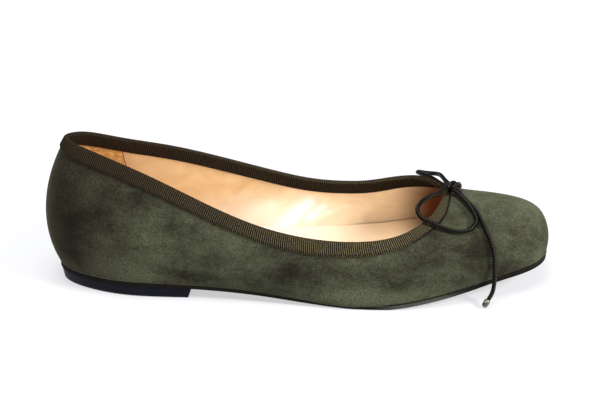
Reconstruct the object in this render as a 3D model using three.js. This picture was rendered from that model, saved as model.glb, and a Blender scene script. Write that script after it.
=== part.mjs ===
// A women's ballet flat for the right foot: a soft square toe, a high rounded back, a low heel, a grosgrain
// ribbon folded over the collar, and a thin cord tied in a bow at the throat.
// Millimetres, +Z up, +X to the toe, +Y to the inner side of the foot. The shoe stands on z = 0, and the origin
// is below the middle of the shoe. While it is built, x = 0 is the furthest point of the back.
import * as THREE from 'three';
import { mergeVertices } from 'three/addons/utils/BufferGeometryUtils.js';

// Driving sizes of the last and the sole
const shoeLength = 247;
const ballWidth = 84;
const collarHeight = 72.5;
const throatHeight = 42;
const toeSpring = 11.4;
const heelHeight = 5.7;
const heelLength = 70;
const heelInset = 0.4;
const heelTaper = 1.0;
const breastSlant = 1.6;
const outsoleThickness = 1.9;
const outsoleMargin = 0.3;
const insoleThickness = 5;

// Driving sizes of the upper and the ribbon. The ribbon is pulled narrower round the front of the throat, by a
// share of its drop, over a number of sections to each side.
const upperWall = 1.7;
const rimWall = 1.1;
const ribbonDrop = 7.0;
const ribbonThickness = 0.5;
const throatNarrowing = 0.5;
const throatSections = 3;

// Driving sizes of the cord's bow. The inset is the knot's distance from the rim, down the vamp.
const cordDiameter = 2.1;
const knotLength = 8;
const knotWidth = 6;
const knotHeight = 5;
const knotInset = 3.6;
const tipDiameter = 3;
const tipLength = 3.9;
const tipTaper = 0.85;

// The gap between neighbours
const clearance = 0.3;

// The facets of the faceted solids
const stepsPerRow = 4;
const wallSteps = 8;
const soleAcross = 4;
const heelRungs = 24;
const cordStep = 5;
const cordSides = 8;
const knotSides = 12;

// The bottom edge of the upper, one row for each section round the foot: back, outer side, toe, inner side.
// x is a share of the shoe's length and y of half the ball's width. Out and up are the handle of the wall's
// curve where it leaves this edge, as shares of the straight line from this edge to the collar.
const footline = [
  { at: 'back', x: 0.021, y: 0, out: 0.15, up: 0.31 },
  { at: 'back outer', x: 0.035, y: -0.23, out: 0.15, up: 0.29 },
  { at: 'counter outer', x: 0.083, y: -0.455, out: 0.15, up: 0.27 },
  { at: 'heel outer', x: 0.162, y: -0.635, out: 0.15, up: 0.24 },
  { at: 'breast outer', x: 0.259, y: -0.695, out: 0.14, up: 0.24 },
  { at: 'waist outer', x: 0.364, y: -0.74, out: 0.14, up: 0.26 },
  { at: 'arch outer', x: 0.466, y: -0.835, out: 0.13, up: 0.28 },
  { at: 'joint outer', x: 0.559, y: -0.93, out: 0.12, up: 0.3 },
  { at: 'ball outer', x: 0.64, y: -0.98, out: 0.1, up: 0.3 },
  { at: 'tread outer', x: 0.729, y: -0.955, out: 0.1, up: 0.28 },
  { at: 'vamp outer', x: 0.822, y: -0.81, out: 0.1, up: 0.27 },
  { at: 'side of toe outer', x: 0.899, y: -0.66, out: 0.07, up: 0.28 },
  { at: 'corner of toe outer', x: 0.952, y: -0.49, out: 0.06, up: 0.23 },
  { at: 'front outer', x: 0.985, y: -0.235, out: 0.05, up: 0.23 },
  { at: 'front', x: 0.993, y: 0.07, out: 0.05, up: 0.23 },
  { at: 'front inner', x: 0.989, y: 0.38, out: 0.04, up: 0.24 },
  { at: 'corner of toe inner', x: 0.971, y: 0.64, out: 0.05, up: 0.23 },
  { at: 'side of toe inner', x: 0.923, y: 0.795, out: 0.07, up: 0.245 },
  { at: 'vamp inner', x: 0.854, y: 0.903, out: 0.08, up: 0.24 },
  { at: 'tread inner', x: 0.773, y: 0.943, out: 0.09, up: 0.26 },
  { at: 'ball inner', x: 0.688, y: 0.933, out: 0.1, up: 0.29 },
  { at: 'joint inner', x: 0.607, y: 0.82, out: 0.12, up: 0.3 },
  { at: 'arch inner', x: 0.518, y: 0.645, out: 0.16, up: 0.28 },
  { at: 'waist inner', x: 0.425, y: 0.56, out: 0.16, up: 0.27 },
  { at: 'breast inner', x: 0.324, y: 0.576, out: 0.15, up: 0.26 },
  { at: 'heel inner', x: 0.202, y: 0.615, out: 0.15, up: 0.26 },
  { at: 'counter inner', x: 0.097, y: 0.507, out: 0.16, up: 0.27 },
  { at: 'back inner', x: 0.036, y: 0.25, out: 0.15, up: 0.3 },
];

// The rim of the collar in the same sections. Its height is a share of the collar's height at the back, and of
// the throat's height in front. Out, ahead and up are the handle with which the wall's curve comes to the rim.
const topline = [
  { at: 'back', x: 0.046, y: 0, back: 0.99, throat: 0, out: 0.2, ahead: 0, up: -0.34 },
  { at: 'back outer', x: 0.056, y: -0.16, back: 0.988, throat: 0, out: 0.2, ahead: 0, up: -0.34 },
  { at: 'counter outer', x: 0.089, y: -0.317, back: 0.972, throat: 0, out: 0.19, ahead: 0, up: -0.33 },
  { at: 'heel outer', x: 0.154, y: -0.464, back: 0.907, throat: 0, out: 0.17, ahead: 0, up: -0.33 },
  { at: 'breast outer', x: 0.243, y: -0.615, back: 0.7, throat: 0.165, out: 0.15, ahead: 0, up: -0.33 },
  { at: 'waist outer', x: 0.34, y: -0.738, back: 0.45, throat: 0.345, out: 0.12, ahead: 0, up: -0.35 },
  { at: 'arch outer', x: 0.429, y: -0.815, back: 0.22, throat: 0.545, out: 0.12, ahead: 0, up: -0.36 },
  { at: 'joint outer', x: 0.51, y: -0.853, back: 0.08, throat: 0.675, out: 0.14, ahead: 0, up: -0.36 },
  { at: 'ball outer', x: 0.579, y: -0.877, back: 0, throat: 0.776, out: 0.15, ahead: 0.05, up: -0.33 },
  { at: 'tread outer', x: 0.64, y: -0.857, back: 0, throat: 0.779, out: 0.18, ahead: 0.1, up: -0.23 },
  { at: 'vamp outer', x: 0.688, y: -0.77, back: 0, throat: 0.805, out: 0.22, ahead: 0.2, up: -0.13 },
  { at: 'side of toe outer', x: 0.725, y: -0.63, back: 0, throat: 0.855, out: 0.2, ahead: 0.47, up: -0.08 },
  { at: 'corner of toe outer', x: 0.757, y: -0.4, back: 0, throat: 0.905, out: 0.2, ahead: 0.655, up: -0.06 },
  { at: 'front outer', x: 0.777, y: -0.143, back: 0, throat: 0.955, out: 0.2, ahead: 0.71, up: 0 },
  { at: 'front', x: 0.786, y: 0.071, back: 0, throat: 0.98, out: 0.2, ahead: 0.735, up: 0.005 },
  { at: 'front inner', x: 0.785, y: 0.286, back: 0, throat: 0.972, out: 0.2, ahead: 0.74, up: -0.075 },
  { at: 'corner of toe inner', x: 0.771, y: 0.536, back: 0, throat: 0.955, out: 0.2, ahead: 0.55, up: -0.32 },
  { at: 'side of toe inner', x: 0.741, y: 0.655, back: 0, throat: 0.965, out: 0.18, ahead: 0.27, up: -0.35 },
  { at: 'vamp inner', x: 0.692, y: 0.71, back: 0, throat: 0.925, out: 0.16, ahead: 0.15, up: -0.27 },
  { at: 'tread inner', x: 0.64, y: 0.745, back: 0, throat: 0.865, out: 0.15, ahead: 0.08, up: -0.29 },
  { at: 'ball inner', x: 0.579, y: 0.762, back: 0, throat: 0.855, out: 0.14, ahead: 0.05, up: -0.3 },
  { at: 'joint inner', x: 0.51, y: 0.762, back: 0.08, throat: 0.765, out: 0.13, ahead: 0, up: -0.32 },
  { at: 'arch inner', x: 0.429, y: 0.738, back: 0.22, throat: 0.65, out: 0.11, ahead: 0, up: -0.33 },
  { at: 'waist inner', x: 0.34, y: 0.693, back: 0.447, throat: 0.42, out: 0.1, ahead: 0, up: -0.33 },
  { at: 'breast inner', x: 0.243, y: 0.602, back: 0.69, throat: 0.175, out: 0.13, ahead: 0, up: -0.33 },
  { at: 'heel inner', x: 0.154, y: 0.459, back: 0.875, throat: 0, out: 0.17, ahead: 0, up: -0.34 },
  { at: 'counter inner', x: 0.089, y: 0.312, back: 0.95, throat: 0, out: 0.19, ahead: 0, up: -0.33 },
  { at: 'back inner', x: 0.056, y: 0.16, back: 0.98, throat: 0, out: 0.2, ahead: 0, up: -0.34 },
];

// The underside of the outsole by its place along the shoe. Its rise is a share of the heel's height behind the
// tread, and of the toe spring in front of it, and it lies flat on the floor at the tread.
const underside = [
  { x: 0, heel: 1, spring: 0 },
  { x: 0.2, heel: 1, spring: 0 },
  { x: 0.285, heel: 0.91, spring: 0 },
  { x: 0.345, heel: 0.79, spring: 0 },
  { x: 0.42, heel: 0.6, spring: 0 },
  { x: 0.5, heel: 0.31, spring: 0 },
  { x: 0.56, heel: 0.1, spring: 0 },
  { x: 0.605, heel: 0, spring: 0 },
  { x: 0.665, heel: 0, spring: 0 },
  { x: 0.7, heel: 0, spring: 0.07 },
  { x: 0.735, heel: 0, spring: 0.18 },
  { x: 0.78, heel: 0, spring: 0.33 },
  { x: 0.83, heel: 0, spring: 0.535 },
  { x: 0.87, heel: 0, spring: 0.73 },
  { x: 0.91, heel: 0, spring: 0.87 },
  { x: 0.955, heel: 0, spring: 0.96 },
  { x: 1.0, heel: 0, spring: 1.0 },
];

// The routes of the bow's cord: points chosen by hand, as steps from the middle of the knot. Each loop starts and
// ends beside the knot, and each end runs from the knot to its tip, near the floor.
const outerLoop = [
  [-4.2, -2.6, 0], [-7.6, -6.6, -0.9], [-11, -8.9, -1.1], [-14, -11.9, -1.5],
  [-16.8, -15.8, -2.2], [-18.2, -20.2, -3.3], [-17.9, -24, -4.3], [-15.9, -27.1, -5.5],
  [-12.9, -28.7, -6.2], [-9.9, -29.8, -7.3], [-6.2, -30.6, -8.5], [-2.7, -31.5, -9.4],
  [1.7, -31.7, -9.8], [5.9, -30.3, -9.5], [8.5, -27.2, -8.4], [9.5, -23.8, -7],
  [8.9, -20.6, -5.7], [7.7, -17.2, -4.3], [6, -13.2, -2.9], [3.6, -8.8, -1.6], [1.4, -4.6, -0.8],
];
const innerLoop = [
  [-4.2, 2.8, 0.3], [-5.4, 6.6, -0.2], [-7, 11, -0.5], [-9.2, 15.4, -0.7], [-11.6, 19.6, -1.2],
  [-13.4, 23.6, -1.9], [-14.2, 27.2, -2.8], [-12.6, 30.5, -4], [-9.1, 31.7, -5], [-5.4, 30.3, -4.8],
  [-3.4, 26.8, -3.9], [-2.8, 22.8, -2.9], [-2.3, 18.8, -2.4], [-1.6, 14.6, -2.2], [-0.7, 10.8, -2],
  [-0.1, 7.4, -1.6], [0.2, 4.5, -0.9],
];
const outerEnd = [
  [3.9, -3, -1.9], [5.2, -6, -2.7], [6.7, -9.6, -3.4], [8.6, -13.2, -4.4], [10.3, -17.2, -5.6], [11.8, -22, -7.4],
  [13.1, -26.8, -9.5], [14.4, -31, -12], [15.9, -34.5, -15.4], [17, -36.5, -20.4], [17.5, -36.9, -26],
  [17.8, -37.2, -31.3], [17.6, -37.7, -35.5], [17.1, -38.3, -38], [16.1, -39.3, -39.8], [14.9, -40.5, -41.1],
];
const innerEnd = [
  [4.2, 2.4, -0.9], [4.6, 5.4, -1.6], [4.9, 8.3, -2.3], [5.1, 11, -3], [5.3, 13.6, -3.9],
  [5.5, 16.2, -5], [6.2, 21, -7.7], [7, 26.4, -11.2], [7.8, 32.3, -16], [8.4, 36.9, -21.6],
  [8.8, 38.8, -27.5], [9, 39.6, -33], [8.6, 40, -36.6], [7.9, 41, -39.2], [7.1, 42.3, -40.8],
];

const sectionCount = footline.length;
const stepCount = sectionCount * stepsPerRow;
const halfBall = ballWidth / 2;

// The weights of the smooth closed curve that passes through the values of one column
function closedWeights(values) {
  const count = values.length;
  const weights = [...values];
  for (let pass = 0; pass < 40; pass += 1) {
    for (let i = 0; i < count; i += 1) {
      const neighbours = weights[(i + count - 1) % count] + weights[(i + 1) % count];
      weights[i] = (6 * values[i] - neighbours) / 4;
    }
  }
  return weights;
}

// A table of sections as smooth functions of the place round the foot, counted in rows
function closedTable(rows, columns) {
  const weights = columns.map((column) => closedWeights(rows.map((row) => row[column])));
  const count = rows.length;
  return (place) => {
    const row = Math.floor(place);
    const t = place - row;
    const blend = [(1 - t) ** 3, 3 * t ** 3 - 6 * t ** 2 + 4, -3 * t ** 3 + 3 * t ** 2 + 3 * t + 1, t ** 3];
    const mixed = {};
    columns.forEach((column, c) => {
      const terms = blend.map((share, k) => (share / 6) * weights[c][(row + k - 1 + 2 * count) % count]);
      mixed[column] = terms[0] + terms[1] + terms[2] + terms[3];
    });
    return mixed;
  };
}

const footAt = closedTable(footline, ['x', 'y', 'out', 'up']);
const rimAt = closedTable(topline, ['x', 'y', 'back', 'throat', 'out', 'ahead', 'up']);

// One column of the underside's table between its rows, without overshoot, so that flat stretches stay flat
function undersideColumn(column, x) {
  const rows = underside;
  const next = Math.min(Math.max(rows.findIndex((row) => row.x >= x), 1), rows.length - 1);
  const rise = (i) => (rows[i][column] - rows[i - 1][column]) / (rows[i].x - rows[i - 1].x);
  const slope = (i) => {
    if (i === 0 || i === rows.length - 1 || rise(i) * rise(i + 1) <= 0) return 0;
    return (2 * rise(i) * rise(i + 1)) / (rise(i) + rise(i + 1));
  };
  const span = rows[next].x - rows[next - 1].x;
  const t = THREE.MathUtils.clamp((x - rows[next - 1].x) / span, 0, 1);
  const ease = t * t * (3 - 2 * t);
  const leaving = slope(next - 1) * span * t * (1 - t) ** 2;
  const arriving = slope(next) * span * t * t * (1 - t);
  return rows[next - 1][column] * (1 - ease) + rows[next][column] * ease + leaving - arriving;
}

// The heights of the sole's faces at a distance from the back
function outsoleBottom(x) {
  const share = x / shoeLength;
  return heelHeight * undersideColumn('heel', share) + toeSpring * undersideColumn('spring', share);
}
const outsoleTop = (x) => outsoleBottom(x) + outsoleThickness;
const footHeight = (x) => outsoleTop(x) + clearance;

// The two edges of the upper's outer face
function footPoint(place) {
  const row = footAt(place);
  const x = row.x * shoeLength;
  return new THREE.Vector3(x, row.y * halfBall, footHeight(x));
}
function rimPoint(place) {
  const row = rimAt(place);
  const height = row.back * collarHeight + row.throat * throatHeight;
  return new THREE.Vector3(row.x * shoeLength, row.y * halfBall, height);
}

// The level direction that points out of the shoe at one of its edges
function outwards(edge, place) {
  const nudge = 0.01;
  const along = edge(place + nudge).sub(edge(place - nudge));
  return new THREE.Vector3(along.y, -along.x, 0).normalize();
}

// The section of the upper's outer face, from its bottom edge to the rim
function wallCurve(place) {
  const foot = footPoint(place);
  const rim = rimPoint(place);
  const span = foot.distanceTo(rim);
  const handle = (edge, out, ahead, up) => {
    const reach = outwards(edge, place).multiplyScalar(out);
    return reach.add(new THREE.Vector3(ahead, 0, up)).multiplyScalar(span);
  };
  const footRow = footAt(place);
  const rimRow = rimAt(place);
  const footHandle = handle(footPoint, footRow.out, 0, footRow.up).add(foot);
  const rimHandle = handle(rimPoint, rimRow.out, rimRow.ahead, rimRow.up).add(rim);
  return new THREE.CubicBezierCurve3(foot, footHandle, rimHandle, rim);
}

// The direction that points out of the upper's outer face
function wallNormal(place, share) {
  const nudge = 0.01;
  const around = wallCurve(place + nudge).getPoint(share).sub(wallCurve(place - nudge).getPoint(share));
  const upwards = wallCurve(place).getTangent(share);
  return around.cross(upwards).normalize();
}

// A point of the upper, at a depth below its outer face
function wallPoint(place, share, depth) {
  return wallCurve(place).getPoint(share).addScaledVector(wallNormal(place, share), -depth);
}

// The distance from the rim to the ribbon's edge
function ribbonReach(place) {
  const fromFront = Math.abs(place - sectionCount / 2) / throatSections;
  const pull = Math.max(0, 1 - fromFront ** 2) ** 2;
  return ribbonDrop * (1 - throatNarrowing * pull);
}

// The share of the wall's curve where the ribbon's edge lies
function ribbonEdge(place) {
  const curve = wallCurve(place);
  return curve.getUtoTmapping(0, curve.getLength() - ribbonReach(place));
}

// One closed body from triangles and quads of points that run anticlockwise as seen from outside
class Facets {
  constructor() {
    this.positions = [];
  }

  triangle(a, b, c) {
    const area = b.clone().sub(a).cross(c.clone().sub(a)).length();
    if (area < 1e-7) return;
    for (const point of [a, b, c]) this.positions.push(point.x, point.y, point.z);
  }

  quad(a, b, c, d) {
    this.triangle(a, b, c);
    this.triangle(a, c, d);
  }

  geometry() {
    const soup = new THREE.BufferGeometry();
    soup.setAttribute('position', new THREE.Float32BufferAttribute(this.positions, 3));
    const merged = mergeVertices(soup, 1e-4);
    merged.computeVertexNormals();
    return merged;
  }
}

// A ring-shaped body, from a closed section of points at every step round the shoe
function ringSolid(sectionAt) {
  const facets = new Facets();
  const rings = [];
  for (let i = 0; i < stepCount; i += 1) rings.push(sectionAt(i / stepsPerRow));
  for (let i = 0; i < stepCount; i += 1) {
    const here = rings[i];
    const next = rings[(i + 1) % stepCount];
    for (let k = 0; k < here.length; k += 1) {
      const other = (k + 1) % here.length;
      facets.quad(here[k], next[k], next[other], here[other]);
    }
  }
  return facets.geometry();
}

// A slab under the foot, from rungs that run from its outer to its inner edge
function slabSolid(rungs, lowPoint, highPoint) {
  const facets = new Facets();
  const low = (i, k) => lowPoint(i / rungs, k / soleAcross);
  const high = (i, k) => highPoint(i / rungs, k / soleAcross);
  for (let i = 0; i < rungs; i += 1) {
    for (let k = 0; k < soleAcross; k += 1) {
      facets.quad(high(i, k), high(i + 1, k), high(i + 1, k + 1), high(i, k + 1));
      facets.quad(low(i, k), low(i, k + 1), low(i + 1, k + 1), low(i + 1, k));
    }
    facets.quad(low(i, 0), low(i + 1, 0), high(i + 1, 0), high(i, 0));
    facets.quad(low(i, soleAcross), high(i, soleAcross), high(i + 1, soleAcross), low(i + 1, soleAcross));
  }
  for (let k = 0; k < soleAcross; k += 1) {
    facets.quad(low(rungs, k), low(rungs, k + 1), high(rungs, k + 1), high(rungs, k));
  }
  return facets.geometry();
}

// A point on a rung: both its ends lie on the foot line, moved outwards by a margin
function rungPoint(outerPlace, innerPlace, across, margin) {
  const end = (place) => footPoint(place).addScaledVector(outwards(footPoint, place), margin);
  return end(outerPlace).lerp(end(innerPlace), across);
}

// A point of a slab that covers the whole foot
function solePoint(along, across, margin, heightAt) {
  const outerPlace = (along * sectionCount) / 2;
  const point = rungPoint(outerPlace, sectionCount - outerPlace, across, margin);
  point.z = heightAt(point.x);
  return point;
}

function outsoleGeometry() {
  const low = (along, across) => solePoint(along, across, outsoleMargin, outsoleBottom);
  const high = (along, across) => solePoint(along, across, outsoleMargin, outsoleTop);
  return slabSolid(stepCount / 2, low, high);
}

function insoleGeometry() {
  const margin = -upperWall - clearance;
  const low = (along, across) => solePoint(along, across, margin, footHeight);
  const high = (along, across) => solePoint(along, across, margin, (x) => footHeight(x) + insoleThickness);
  return slabSolid(stepCount / 2, low, high);
}

// The place on one side of the foot line where it passes a distance from the back
function placeAt(x, side) {
  let near = 0;
  let far = sectionCount / 2;
  for (let pass = 0; pass < 30; pass += 1) {
    const middle = (near + far) / 2;
    if (footPoint(side * middle).x < x) near = middle;
    else far = middle;
  }
  return side * near;
}

// The heel tapers towards the floor, and its breast leans forward
function heelGeometry() {
  const layer = (breast, margin, heightAt) => {
    const outer = placeAt(breast, 1);
    const inner = placeAt(breast, -1);
    return (along, across) => {
      const point = rungPoint(along * outer, along * inner, across, margin);
      point.x = Math.min(point.x, breast);
      point.z = heightAt(point.x);
      return point;
    };
  };
  const topMargin = outsoleMargin - heelInset;
  const low = layer(heelLength, topMargin - heelTaper, () => 0);
  const high = layer(heelLength + breastSlant, topMargin, (x) => outsoleBottom(x) - clearance);
  return slabSolid(heelRungs, low, high);
}

// The wall is skived thinner under the ribbon, from the ribbon's edge to the rim
function upperGeometry() {
  return ringSolid((place) => {
    const edge = ribbonEdge(place);
    const outer = [];
    const inner = [];
    for (let k = 0; k <= wallSteps; k += 1) {
      const share = (edge * k) / wallSteps;
      outer.push(wallPoint(place, share, 0));
      inner.unshift(wallPoint(place, share, upperWall));
    }
    inner[wallSteps] = footPoint(place).addScaledVector(outwards(footPoint, place), -upperWall);
    return [...outer, wallPoint(place, 1, 0), wallPoint(place, 1, rimWall), ...inner];
  });
}

// The ribbon is folded over the rim, with a leg on the outer face and one on the inner face
function ribbonGeometry() {
  const near = clearance;
  const far = clearance + ribbonThickness;
  return ringSolid((place) => {
    const edge = ribbonEdge(place);
    const upwards = wallCurve(place).getTangent(1);
    const leg = (depth) => wallPoint(place, edge, depth);
    const fold = (depth, lift) => wallPoint(place, 1, depth).addScaledVector(upwards, lift);
    return [
      leg(-far),
      fold(-far, near),
      fold(-near, far),
      fold(rimWall + near, far),
      fold(rimWall + far, near),
      leg(upperWall + far),
      leg(upperWall + near),
      fold(rimWall + near, near),
      fold(-near, near),
      leg(-near),
    ];
  });
}

// The knot lies on the ribbon, in the middle of the throat
function knotCentre() {
  const frontPlace = sectionCount / 2;
  const curve = wallCurve(frontPlace);
  const share = curve.getUtoTmapping(0, curve.getLength() - knotInset);
  return wallPoint(frontPlace, share, -(ribbonThickness + 2 * clearance + knotHeight / 2));
}

// A three.js shape as a closed body whose shared corners are merged
function closedBody(geometry) {
  geometry.deleteAttribute('normal');
  geometry.deleteAttribute('uv');
  const merged = mergeVertices(geometry, 1e-4);
  merged.computeVertexNormals();
  return merged;
}

function knotGeometry() {
  const ball = new THREE.SphereGeometry(0.5, knotSides, knotSides / 2);
  ball.scale(knotLength, knotHeight, knotWidth);
  ball.rotateX(Math.PI / 2);
  return closedBody(ball);
}

// A stretch of the cord along its route, from the middle of the knot
function cordGeometry(route) {
  const path = new THREE.CatmullRomCurve3(route.map((step) => new THREE.Vector3(...step)));
  const section = new THREE.Shape().absarc(0, 0, cordDiameter / 2, 0, 2 * Math.PI);
  const steps = Math.ceil(path.getLength() / cordStep);
  const tube = new THREE.ExtrudeGeometry(section, { steps, curveSegments: cordSides / 2, extrudePath: path });
  return closedBody(tube);
}

// The tip goes on where the cord's route stops, in the same direction
function tipPiece(route) {
  const [before, last] = route.slice(-2).map((step) => new THREE.Vector3(...step));
  const ahead = last.clone().sub(before).normalize();
  const tip = new THREE.CylinderGeometry(tipDiameter * tipTaper / 2, tipDiameter / 2, tipLength, knotSides);
  tip.applyQuaternion(new THREE.Quaternion().setFromUnitVectors(new THREE.Vector3(0, 1, 0), ahead));
  tip.translate(...last.addScaledVector(ahead, clearance + tipLength / 2));
  return closedBody(tip);
}

// Materials
const suede = new THREE.MeshStandardMaterial({ color: 0x3c4034, roughness: 0.95, metalness: 0 });
const grosgrain = new THREE.MeshStandardMaterial({ color: 0x33291d, roughness: 0.8, metalness: 0 });
const soleLeather = new THREE.MeshStandardMaterial({ color: 0x231f1c, roughness: 0.6, metalness: 0 });
const heelRubber = new THREE.MeshStandardMaterial({ color: 0x17181d, roughness: 0.55, metalness: 0 });
const liningLeather = new THREE.MeshStandardMaterial({ color: 0xd9b48a, roughness: 0.5, metalness: 0 });

const cordCotton = new THREE.MeshStandardMaterial({ color: 0x1c1a17, roughness: 0.85, metalness: 0 });
const clearTip = new THREE.MeshStandardMaterial({ color: 0x8d9673, roughness: 0.3, metalness: 0 });

// The shoe
const shoe = new THREE.Group();
function addPiece(name, geometry, material) {
  const mesh = new THREE.Mesh(geometry, material);
  mesh.name = name;
  shoe.add(mesh);
  return mesh;
}
addPiece('outsole', outsoleGeometry(), soleLeather);
addPiece('heel', heelGeometry(), heelRubber);
addPiece('insole', insoleGeometry(), liningLeather);
addPiece('upper', upperGeometry(), suede);
addPiece('topline_ribbon', ribbonGeometry(), grosgrain);

// The origin goes below the middle of the shoe without its bow
const box = new THREE.Box3().setFromObject(shoe);
const middle = box.getCenter(new THREE.Vector3());
shoe.position.set(-middle.x, -middle.y, -box.min.z);

// The bow
const bowPieces = [
  addPiece('bow_knot', knotGeometry(), cordCotton),
  addPiece('bow_loop_lateral', cordGeometry(outerLoop), cordCotton),
  addPiece('bow_loop_medial', cordGeometry(innerLoop), cordCotton),
  addPiece('bow_end_lateral', cordGeometry(outerEnd), cordCotton),
  addPiece('bow_end_medial', cordGeometry(innerEnd), cordCotton),
  addPiece('bow_tip_lateral', tipPiece(outerEnd), clearTip),
  addPiece('bow_tip_medial', tipPiece(innerEnd), clearTip),
];
for (const piece of bowPieces) piece.position.copy(knotCentre());

export default shoe;
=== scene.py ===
"""A suede ballet flat for the right foot, with a ribbed ribbon round the collar and a thin cord bow."""

import bmesh
import bpy
import numpy as np
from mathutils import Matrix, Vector


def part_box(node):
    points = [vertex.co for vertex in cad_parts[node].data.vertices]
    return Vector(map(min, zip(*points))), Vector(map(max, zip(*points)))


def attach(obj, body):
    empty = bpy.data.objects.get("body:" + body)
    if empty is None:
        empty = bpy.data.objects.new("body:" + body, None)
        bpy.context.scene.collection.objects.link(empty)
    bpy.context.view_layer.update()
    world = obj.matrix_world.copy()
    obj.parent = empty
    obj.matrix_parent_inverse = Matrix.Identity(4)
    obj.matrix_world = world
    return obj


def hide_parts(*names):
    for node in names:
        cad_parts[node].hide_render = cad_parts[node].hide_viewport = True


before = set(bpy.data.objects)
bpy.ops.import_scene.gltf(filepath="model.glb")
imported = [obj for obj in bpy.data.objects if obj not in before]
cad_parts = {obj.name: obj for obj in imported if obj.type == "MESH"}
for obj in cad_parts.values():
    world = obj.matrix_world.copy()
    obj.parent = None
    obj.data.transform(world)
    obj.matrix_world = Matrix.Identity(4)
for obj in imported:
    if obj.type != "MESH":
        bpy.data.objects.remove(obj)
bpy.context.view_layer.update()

MM = 0.001

# Sizes of the shoe in millimetres, as in the part's source. Here too, x = 0 is at the back.
SHOE_LENGTH = 247.0
HALF_BALL = 42.0
COLLAR_HEIGHT = 72.5
THROAT_HEIGHT = 42.0
TOE_SPRING = 11.4
HEEL_HEIGHT = 5.7
HEEL_LENGTH = 70.0
HEEL_INSET = 0.4
HEEL_TAPER = 1.0
BREAST_SLANT = 1.6
OUTSOLE_THICKNESS = 1.9
OUTSOLE_MARGIN = 0.3
INSOLE_THICKNESS = 5.0
UPPER_WALL = 1.7
RIM_WALL = 1.1
RIBBON_DROP = 7.0
RIBBON_THICKNESS = 0.5
THROAT_NARROWING = 0.5
THROAT_SECTIONS = 3
CORD_DIAMETER = 2.1
KNOT_HEIGHT = 5.0
KNOT_INSET = 3.6
CLEARANCE = 0.3

# The bottom edge of the upper in sections round the foot: back, outer side, toe, inner side. Each row has x
# and y, shares of the length and of half the ball's width, and the handle, out and up, of the wall's curve.
FOOTLINE = np.array([
    (0.021, 0, 0.15, 0.31), (0.035, -0.23, 0.15, 0.29), (0.083, -0.455, 0.15, 0.27),
    (0.162, -0.635, 0.15, 0.24), (0.259, -0.695, 0.14, 0.24), (0.364, -0.74, 0.14, 0.26),
    (0.466, -0.835, 0.13, 0.28), (0.559, -0.93, 0.12, 0.3), (0.64, -0.98, 0.1, 0.3),
    (0.729, -0.955, 0.1, 0.28), (0.822, -0.81, 0.1, 0.27), (0.899, -0.66, 0.07, 0.28),
    (0.952, -0.49, 0.06, 0.23), (0.985, -0.235, 0.05, 0.23), (0.993, 0.07, 0.05, 0.23),
    (0.989, 0.38, 0.04, 0.24), (0.971, 0.64, 0.05, 0.23), (0.923, 0.795, 0.07, 0.245),
    (0.854, 0.903, 0.08, 0.24), (0.773, 0.943, 0.09, 0.26), (0.688, 0.933, 0.1, 0.29),
    (0.607, 0.82, 0.12, 0.3), (0.518, 0.645, 0.16, 0.28), (0.425, 0.56, 0.16, 0.27),
    (0.324, 0.576, 0.15, 0.26), (0.202, 0.615, 0.15, 0.26), (0.097, 0.507, 0.16, 0.27),
    (0.036, 0.25, 0.15, 0.3),
])

# The rim of the collar in the same sections. Each row has x and y, shares of the collar's height and of the
# throat's height, and the handle, out, ahead and up, of the wall's curve.
TOPLINE = np.array([
    (0.046, 0, 0.99, 0, 0.2, 0, -0.34), (0.056, -0.16, 0.988, 0, 0.2, 0, -0.34),
    (0.089, -0.317, 0.972, 0, 0.19, 0, -0.33), (0.154, -0.464, 0.907, 0, 0.17, 0, -0.33),
    (0.243, -0.615, 0.7, 0.165, 0.15, 0, -0.33), (0.34, -0.738, 0.45, 0.345, 0.12, 0, -0.35),
    (0.429, -0.815, 0.22, 0.545, 0.12, 0, -0.36), (0.51, -0.853, 0.08, 0.675, 0.14, 0, -0.36),
    (0.579, -0.877, 0, 0.776, 0.15, 0.05, -0.33), (0.64, -0.857, 0, 0.779, 0.18, 0.1, -0.23),
    (0.688, -0.77, 0, 0.805, 0.22, 0.2, -0.13), (0.725, -0.63, 0, 0.855, 0.2, 0.47, -0.08),
    (0.757, -0.4, 0, 0.905, 0.2, 0.655, -0.06), (0.777, -0.143, 0, 0.955, 0.2, 0.71, 0),
    (0.786, 0.071, 0, 0.98, 0.2, 0.735, 0.005), (0.785, 0.286, 0, 0.972, 0.2, 0.74, -0.075),
    (0.771, 0.536, 0, 0.955, 0.2, 0.55, -0.32), (0.741, 0.655, 0, 0.965, 0.18, 0.27, -0.35),
    (0.692, 0.71, 0, 0.925, 0.16, 0.15, -0.27), (0.64, 0.745, 0, 0.865, 0.15, 0.08, -0.29),
    (0.579, 0.762, 0, 0.855, 0.14, 0.05, -0.3), (0.51, 0.762, 0.08, 0.765, 0.13, 0, -0.32),
    (0.429, 0.738, 0.22, 0.65, 0.11, 0, -0.33), (0.34, 0.693, 0.447, 0.42, 0.1, 0, -0.33),
    (0.243, 0.602, 0.69, 0.175, 0.13, 0, -0.33), (0.154, 0.459, 0.875, 0, 0.17, 0, -0.34),
    (0.089, 0.312, 0.95, 0, 0.19, 0, -0.33), (0.056, 0.16, 0.98, 0, 0.2, 0, -0.34),
])

# The rise of the outsole's underside. Each row has x, and shares of the heel's height and of the toe spring.
UNDERSIDE = np.array([
    (0, 1, 0), (0.2, 1, 0), (0.285, 0.91, 0), (0.345, 0.79, 0), (0.42, 0.6, 0), (0.5, 0.31, 0),
    (0.56, 0.1, 0), (0.605, 0, 0), (0.665, 0, 0), (0.7, 0, 0.07), (0.735, 0, 0.18), (0.78, 0, 0.33),
    (0.83, 0, 0.535), (0.87, 0, 0.73), (0.91, 0, 0.87), (0.955, 0, 0.96), (1.0, 0, 1.0),
])

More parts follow.
